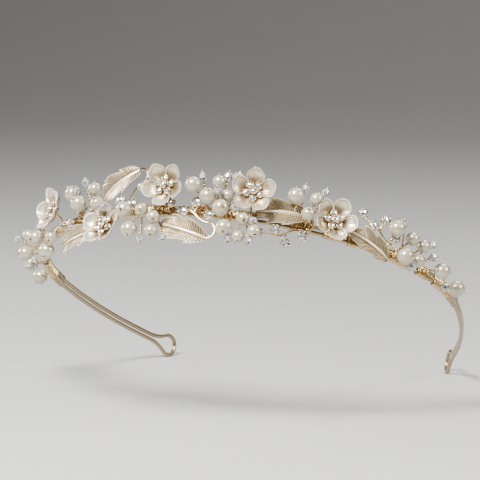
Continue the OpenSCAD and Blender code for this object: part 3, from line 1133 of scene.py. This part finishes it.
@dataclass
class Flower:
    """A stamped flower: five cupped petals, six stones in cups, and its stem."""

    number: int
    petal_middle: float = 4.0
    petal_reach: float = 3.2
    petal_gap: float = 0.1
    thickness: float = 0.32
    bowl_r: float = 13.5
    bowl_top: float = 0.5
    cup_rise: float = 0.95
    cup_dip: float = 0.25
    folds: float = 9.0
    fold_depth: float = 0.2
    creases: float = 42.0
    crease_depth: float = 0.09
    gutter: float = 0.83
    gutter_width: float = 0.05
    gutter_depth: float = 0.06
    rim: float = 0.88
    rim_lift: float = 0.24
    stone_d: float = 2.0
    stone_ring_r: float = 2.3
    ring_z: float = 1.6
    middle_z: float = 2.4
    claws: int = 4
    plate: tuple[Span, ...] = (
        (0.15, 0.15), (1.7, 0.15), (1.95, 0.4), (1.9, 0.72), (1.5, 0.95), (0.15, 1.0))
    stem: TwistedStem = TwistedStem(strand_r=0.26)
    stem_top: float = 0.3
    stem_foot: float = 0.2
    fineness: int = 39

    def pattern(self) -> np.ndarray:
        """Returns the middles of the six stones."""
        angles = np.radians(54 + 72 * np.arange(5))
        ring = np.column_stack((np.cos(angles), np.sin(angles))) * self.stone_ring_r
        ring = np.column_stack((ring, np.full(5, self.ring_z)))
        return np.vstack((ring, (0, 0, self.middle_z)))

    def outline(self, angle: np.ndarray, turn: int) -> np.ndarray:
        """Returns a petal's reach from its middle, at angles from its tip.

        Args:
            angle: The angles.
            turn: The petal's number, from 0, which varies its edge.

        Returns:
            The reach of a wavy circle, kept clear of the petals on both sides.
        """
        slope = math.tan(math.radians(36))
        lean = np.sin(np.abs(angle)) - slope * np.cos(angle)
        room = slope * self.petal_middle - self.petal_gap
        wedge = np.where(lean > 0.05, room / np.maximum(lean, 0.05), 99)
        wave = 1 + 0.025 * np.cos(5 * angle + turn + self.number)
        full = self.petal_reach * (wave + 0.02 * np.cos(3 * angle + 2 * turn))
        return (full ** -6 + wedge ** -6) ** (-1 / 6)

    def petal(self, turn: int) -> tuple[np.ndarray, np.ndarray]:
        """Returns the face of one petal as a grid of points, and its tones."""
        # A square grid is rounded to a disc, then stretched to the petal's outline.
        steps = eased(self.fineness, 0.92)
        a, b = np.meshgrid(steps, steps, indexing="ij")
        x, y = a * np.sqrt(1 - b * b / 2), b * np.sqrt(1 - a * a / 2)
        share, angle = np.hypot(x, y), np.arctan2(y, x)
        reach = share * self.outline(angle, turn)
        x, y = self.petal_middle + reach * np.cos(angle), reach * np.sin(angle)
        radius, ray = np.hypot(x, y), np.arctan2(y, x - 0.2)
        # The sheet is a shallow bowl, whose petals dip, fold softly and turn up at the edge.
        outer = way(x, 2.0, 6.5)
        bowl = self.bowl_top + self.bowl_r - np.sqrt(self.bowl_r ** 2 - radius ** 2)
        cup = self.cup_rise * share ** 2.4 * (0.3 + 0.7 * outer)
        cup -= self.cup_dip * (1 - share ** 2) * outer
        fold = self.fold_depth * np.cos(ray * self.folds + turn * 1.9) * outer * share
        # Fine creases fan out from the flower's middle, and fade before the rolled rim.
        crease = np.cos(ray * self.creases + 1.3 * np.sin(radius * 1.1 + turn))
        crease *= way(share, 0.05, 0.383) * way(share, 0.93, 0.763)
        crease *= 1.2 - 0.8 * way(radius, 2.2, 6.2)
        gutter = bell(share, self.gutter, self.gutter_width)
        rim = way(share, self.rim, 1)
        z = bowl + cup + fold + self.crease_depth * crease
        z += self.rim_lift * np.sin(rim * math.pi / 2) - self.gutter_depth * gutter
        # Painted light in the tone: shade in the crease troughs and the gutter, highlights on
        # the crests and the rim; darker towards the middle, partly gold tint, partly painted shade.
        tone = 0.1 + 0.68 * way(radius, 2.4, 5.8) + 0.18 * crease - 0.12 * gutter + 0.5 * rim
        return np.stack((x, y, z), -1), tone

    def build(self, reader: Reader, finishes: Finishes) -> None:
        """Makes the flower's petals, its plate and cups with their stem, and its stones."""
        name = f"flower_{self.number}"
        place = seat_pattern(reader, f"{name}_stones", self.pattern(), self.stone_d, False)
        petals, metal, stones = Work(), Work(), Work()
        for turn in range(5):
            top, tone = self.petal(turn)
            spun = Matrix.Rotation(math.radians(90 + 72 * turn), 4, "Z")
            skin(petals, top, top - (0, 0, self.thickness), tone, place @ spun)
        turned(metal, lambda _: self.plate, place, sides=30)
        set_stones(metal, stones, place, self.pattern(), self.stone_d, self.claws)
        back = np.array(place @ Vector((0, 0, self.stem_top)))
        angle = float(reader.on_band(back)[0][0])
        foot = reader.at(angle, 0, reader.wire_radius + self.stem_foot)
        self.stem.build(metal, foot, unit(back - foot), float(np.linalg.norm(back - foot)))
        petals.piece(f"{name}_sheet", finishes, Slot.IVORY, f"{name}_petals")
        metal.piece(f"{name}_cups", finishes, Slot.SETTING, f"{name}_setting")
        stones.piece(f"{name}_brilliants", finishes, Slot.CRYSTAL, f"{name}_stones")


@dataclass
class Vine:
    """A stamped leaf whose stem curls into a wire with four stones in cups.

    Each stone is given by its place and by the place where its stalk starts.
    """

    number: int
    stones: tuple[tuple[float, float, float, float], ...] = (
        (6.4, -4.7, 5.4, -2.5), (0.8, -7.6, 1.2, -3.8),
        (-2.4, -3.4, -2.4, -4.8), (-7.6, -4.8, -6.5, -4.5))
    stone_d: float = 3.0
    stone_z: float = 2.1
    claws: int = 6
    wire_r: float = 0.5
    wire_start: tuple[float, float, float] = (7.1, 2.6, 0.3)
    wire_end_share: float = 0.62
    bends: tuple[Span, ...] = ((2.6, -190), (7, 45), (6, -50), (7, 35))
    stalk_r: float = 0.34
    stalk_sag: float = 0.15
    leaf_middle: tuple[float, float, float] = (-0.5, 2.6, 2.2)
    leaf_length: float = 16.5
    leaf_half_width: float = 4.6
    leaf_bend_r: float = 20.0
    lobes: float = 2.8
    lobe_depth: float = 0.27
    veins: int = 24
    vein_depth: float = 0.11
    spine_width: float = 0.34
    spine_lift: float = 0.3
    rim: float = 0.87
    rim_lift: float = 0.2
    thickness: float = 0.32

    def pattern(self) -> np.ndarray:
        """Returns the middles of the four stones."""
        return np.array([(x, y, self.stone_z) for x, y, _, _ in self.stones])

    def leaf(self) -> tuple[np.ndarray, np.ndarray]:
        """Returns the face of the leaf as a grid of points, and its tones."""
        share = np.linspace(0, 1, self.veins * 7 + 1)
        t, v = np.meshgrid(share, eased(31, 0.9), indexing="ij")
        side = np.abs(v)
        # The outline is a pointed oval, notched into lobes that sweep back to the stem.
        full = np.sin(math.pi * t ** 0.85) ** 0.62 * (1 - 0.12 * t) + 0.05
        lobe = (self.lobes * t + 0.25 + 0.13 * np.sign(v)) % 1.0
        notch = 1 - self.lobe_depth * (1 - lobe) ** 1.5 * way(t, 0, 0.25) * way(t, 1, 0.8)
        vein = np.cos(TAU * self.veins * t)
        half = self.leaf_half_width * full * notch * (1 + 0.015 * vein)
        y = v * half
        sweep = 0.75 * half * side ** 1.3 * way(t, 0, 2 / 7) * way(t, 1, 6 / 11)
        x = np.maximum(self.leaf_length * (0.5 - t) - sweep, -0.5 * self.leaf_length)
        # The blade is bent along its length, with veins, a raised spine and a rolled rim.
        bend = np.sqrt(self.leaf_bend_r ** 2 - x ** 2) - self.leaf_bend_r
        vein *= way(side, 0.06, 0.185) * way(side, 0.9, 0.775)
        rim = way(side, self.rim, 1)
        spine = bell(y, 0, self.spine_width) * way(t, 1, 5 / 6)
        wave = 0.3 * np.sin(TAU * self.lobes * t + 1.2 * np.sign(v)) * v ** 2
        z = bend + 0.55 * v ** 2 * full + wave + self.spine_lift * spine
        z += self.vein_depth * vein + self.rim_lift * np.sin(rim * math.pi / 2)
        # Painted light in the tone: highlights on vein crests, the raised spine and the rolled rim,
        # shade in the vein troughs, and a painted shade line along each side of the spine.
        tone = 0.46 + 0.22 * vein + 0.6 * rim ** 2 + 0.6 * spine
        tone -= 0.25 * bell(np.abs(y), 0.7, 0.28)
        return np.stack((x, y, z), -1), np.clip(tone, 0, 1)

    def wire(self) -> Work:
        """Returns the curled wire with its four stalks."""
        flat = bend_path(self.wire_start[:2], self.bends)
        path = np.column_stack((flat, np.full(len(flat), self.wire_start[2])))
        taper = np.linspace(1.0, self.wire_end_share, len(path)) * self.wire_r
        taper[0] *= 0.9
        strand = Work()
        tube(strand, path, taper, sides=10)
        for x, y, start_x, start_y in self.stones:
            start = np.array((start_x, start_y, self.wire_start[2]))
            end = np.array((x, y, self.stone_z - 0.7 * self.stone_d))
            sag = start * 0.4 + end * 0.6 - (0, 0, self.stalk_sag)
            curve = [start, sag, (end * 2 + sag) / 3, end]
            tube(strand, np.array(curve), self.stalk_r, sides=8)
        return strand

    def build(self, reader: Reader, finishes: Finishes) -> None:
        """Makes the leaf, the wire with its cups, and the stones."""
        name = f"vine_{self.number}"
        place = seat_pattern(reader, f"{name}_stones", self.pattern(), self.stone_d, True)
        blade, metal, stones = Work(), Work(), Work()
        top, tone = self.leaf()
        spot = place @ Matrix.Translation(self.leaf_middle)
        skin(blade, top, top - (0, 0, self.thickness), tone, spot)
        metal.take(self.wire(), place)
        set_stones(metal, stones, place, self.pattern(), self.stone_d, self.claws)
        blade.piece(f"{name}_blade", finishes, Slot.IVORY, f"{name}_leaf")
        metal.piece(f"{name}_curl", finishes, Slot.SETTING, f"{name}_wire")
        stones.piece(f"{name}_brilliants", finishes, Slot.CRYSTAL, f"{name}_stones")


@dataclass
class Spray:
    """Pearls and crystal beads, each on its own twisted stem."""

    number: int
    stem: TwistedStem = TwistedStem()
    pearl: PearlBead = PearlBead()
    glass: GlassBead = GlassBead()

    def build(self, reader: Reader, finishes: Finishes) -> None:
        """Makes the spray's pearls, crystal beads and stems."""
        name = f"spray_{self.number}"
        pearls, glass, stems = Work(), Work(), Work()
        beads = [(bead, self.pearl, pearls) for bead in reader.beads(f"{name}_pearls")]
        beads += [(bead, self.glass, glass) for bead in reader.beads(f"{name}_crystals")]
        for bead, maker, work in beads:
            maker.build(work, bead)
            length = float((bead.middle - bead.foot) @ bead.axis) + bead.radius
            self.stem.build(stems, bead.foot, bead.axis, length)
        pearls.piece(f"{name}_pearl_beads", finishes, Slot.PEARL, f"{name}_pearls")
        glass.piece(f"{name}_glass_beads", finishes, Slot.CRYSTAL, f"{name}_crystals", True)
        stems.piece(f"{name}_twists", finishes, Slot.BINDING, f"{name}_stems")


# ----------------------------------------------------------------- studio


def towards(azimuth: float, elevation: float) -> Vector:
    """Returns the direction from the tiara at an azimuth and elevation, in degrees."""
    a, e = math.radians(azimuth), math.radians(elevation)
    return Vector((math.sin(a) * math.cos(e), -math.cos(a) * math.cos(e), math.sin(e)))


def set_up(thing: bpy.types.Object, place: Matrix) -> None:
    """Stands something that isn't part of the tiara in the studio."""
    thing.matrix_world = place
    bpy.context.scene.collection.objects.link(thing)


@dataclass(frozen=True)
class Fixture:
    """Something that faces the tiara from a direction, out of the camera's sight."""

    name: str
    azimuth: float
    elevation: float
    distance: float

    def hang(self, thing: bpy.types.Object) -> None:
        """Hangs a light or a card in its place."""
        back = towards(self.azimuth, self.elevation)
        turn = back.to_track_quat("Z", "Y").to_matrix().to_4x4()
        thing.visible_camera = False
        set_up(thing, Matrix.Translation(back * self.distance) @ turn)


@dataclass(frozen=True)
class Lamp(Fixture):
    """A square soft light."""

    size: float
    watts: float
    shade: tuple[float, float, float] = (1.0, 1.0, 1.0)

    def build(self) -> None:
        """Hangs the light."""
        data = bpy.data.lights.new(self.name, "AREA")
        data.shape = "SQUARE"
        data.size = self.size
        data.energy = self.watts
        data.color = self.shade
        self.hang(bpy.data.objects.new(self.name, data))


@dataclass(frozen=True)
class Card(Fixture):
    """A dark card, for the tiara's metal and stones to mirror."""

    width: float
    height: float

    def build(self, felt: bpy.types.Material) -> None:
        """Hangs the card."""
        x, y = self.width / 2, self.height / 2
        mesh = bpy.data.meshes.new(self.name)
        mesh.from_pydata([(-x, -y, 0), (x, -y, 0), (x, y, 0), (-x, y, 0)], [], [(0, 1, 2, 3)])
        mesh.materials.append(felt)
        self.hang(bpy.data.objects.new(self.name, mesh))


@dataclass
class Studio:
    """A pale floor and backdrop, soft lights, and a long lens."""

    azimuth: float = 19.34
    elevation: float = 7.47
    distance: float = 1.0
    lens: float = 220.0
    slide_right: float = -0.0036
    slide_up: float = 0.0162
    paper_half: float = 2.6
    paper_front: float = -2.2
    paper_bend: float = 0.9
    paper_top: float = 2.6
    air: Colour = (0.82, 0.82, 0.83, 1)
    air_strength: float = 0.07
    lamps: tuple[Lamp, ...] = (
        Lamp("key_box", -12, 50, 0.55, 0.16, 11.0, (1.0, 0.99, 0.97)),
        Lamp("right_box", 88, 30, 0.55, 0.16, 2.6, (1.0, 0.98, 0.95)),
        Lamp("left_box", -88, 22, 0.55, 0.16, 2.4, (0.98, 0.99, 1.0)),
        Lamp("rear_box", 170, 50, 0.7, 0.3, 2.5),
        Lamp("backdrop_box", 0, 75, 1.9, 1.2, 16.0),
    )
    cards: tuple[Card, ...] = (
        Card("left_card", -60, 8, 0.5, 0.16, 0.5),
        Card("right_card", 62, 12, 0.5, 0.14, 0.5),
        Card("top_card", 10, 82, 0.42, 0.5, 0.12),
    )

    def build_floor(self, paper: bpy.types.Material) -> None:
        """Lays a sheet of paper that curves up behind the tiara, at the tiara's lowest point."""
        low, bend_r = float(CAD_BOX[0][2]), self.paper_bend
        bend = np.linspace(0.1, 1, 14) * math.pi / 2
        flat = np.linspace(self.paper_front, bend_r, 12)
        run = [*flat, *(bend_r + bend_r * np.sin(bend)), 2 * bend_r]
        rise = [*(0 * flat), *(bend_r - bend_r * np.cos(bend)), self.paper_top]
        half = self.paper_half
        points = [(x, y, low + z) for y, z in zip(run, rise) for x in (-half, half)]
        faces = [(2 * i, 2 * i + 1, 2 * i + 3, 2 * i + 2) for i in range(len(run) - 1)]
        mesh = bpy.data.meshes.new("paper_sweep")
        mesh.from_pydata(points, [], faces)
        mesh.polygons.foreach_set("use_smooth", [True] * len(faces))
        mesh.materials.append(paper)
        set_up(bpy.data.objects.new("paper_sweep", mesh), Matrix.Identity(4))

    def build_air(self) -> None:
        """Fills the studio with a faint even light."""
        world = bpy.data.worlds.new("studio_air")
        world.use_nodes = True
        background = world.node_tree.nodes["Background"]
        background.inputs["Color"].default_value = self.air
        background.inputs["Strength"].default_value = self.air_strength
        bpy.context.scene.world = world

    def build_camera(self, reader: Reader) -> None:
        """Stands the camera in front, a little above and to the right."""
        data = bpy.data.cameras.new("long_lens")
        data.lens = self.lens
        data.sensor_width = 36
        data.clip_start = 0.05
        camera = bpy.data.objects.new("long_lens", data)
        back = towards(self.azimuth, self.elevation)
        turn = back.to_track_quat("Z", "Y").to_matrix()
        slide = turn @ Vector((self.slide_right, self.slide_up, 0))
        spot = Vector(reader.centre * MM) + slide + back * self.distance
        set_up(camera, Matrix.Translation(spot) @ turn.to_4x4())
        bpy.context.scene.camera = camera

    def build(self, reader: Reader, finishes: Finishes) -> None:
        """Sets up the studio."""
        self.build_floor(finishes.paper)
        for lamp in self.lamps:
            lamp.build()
        for card in self.cards:
            card.build(finishes.felt)
        self.build_air()
        self.build_camera(reader)


def main() -> None:
    """Builds the whole tiara round its frame."""
    logging.basicConfig(level=logging.INFO, format="%(message)s")
    finishes = Finishes()
    reader = Reader(frame["record"])
    LOG.info("band: radius %.2f mm, pitch %.2f mm", reader.radius, reader.pitch)
    Band().build(reader, finishes)
    Binding().build(reader, finishes)
    for number in range(1, 6):
        Flower(number).build(reader, finishes)
    for number in range(1, 7):
        Vine(number).build(reader, finishes)
    for number in range(1, 8):
        Spray(number).build(reader, finishes)
    Studio().build(reader, finishes)


if __name__ == "__main__":
    main()
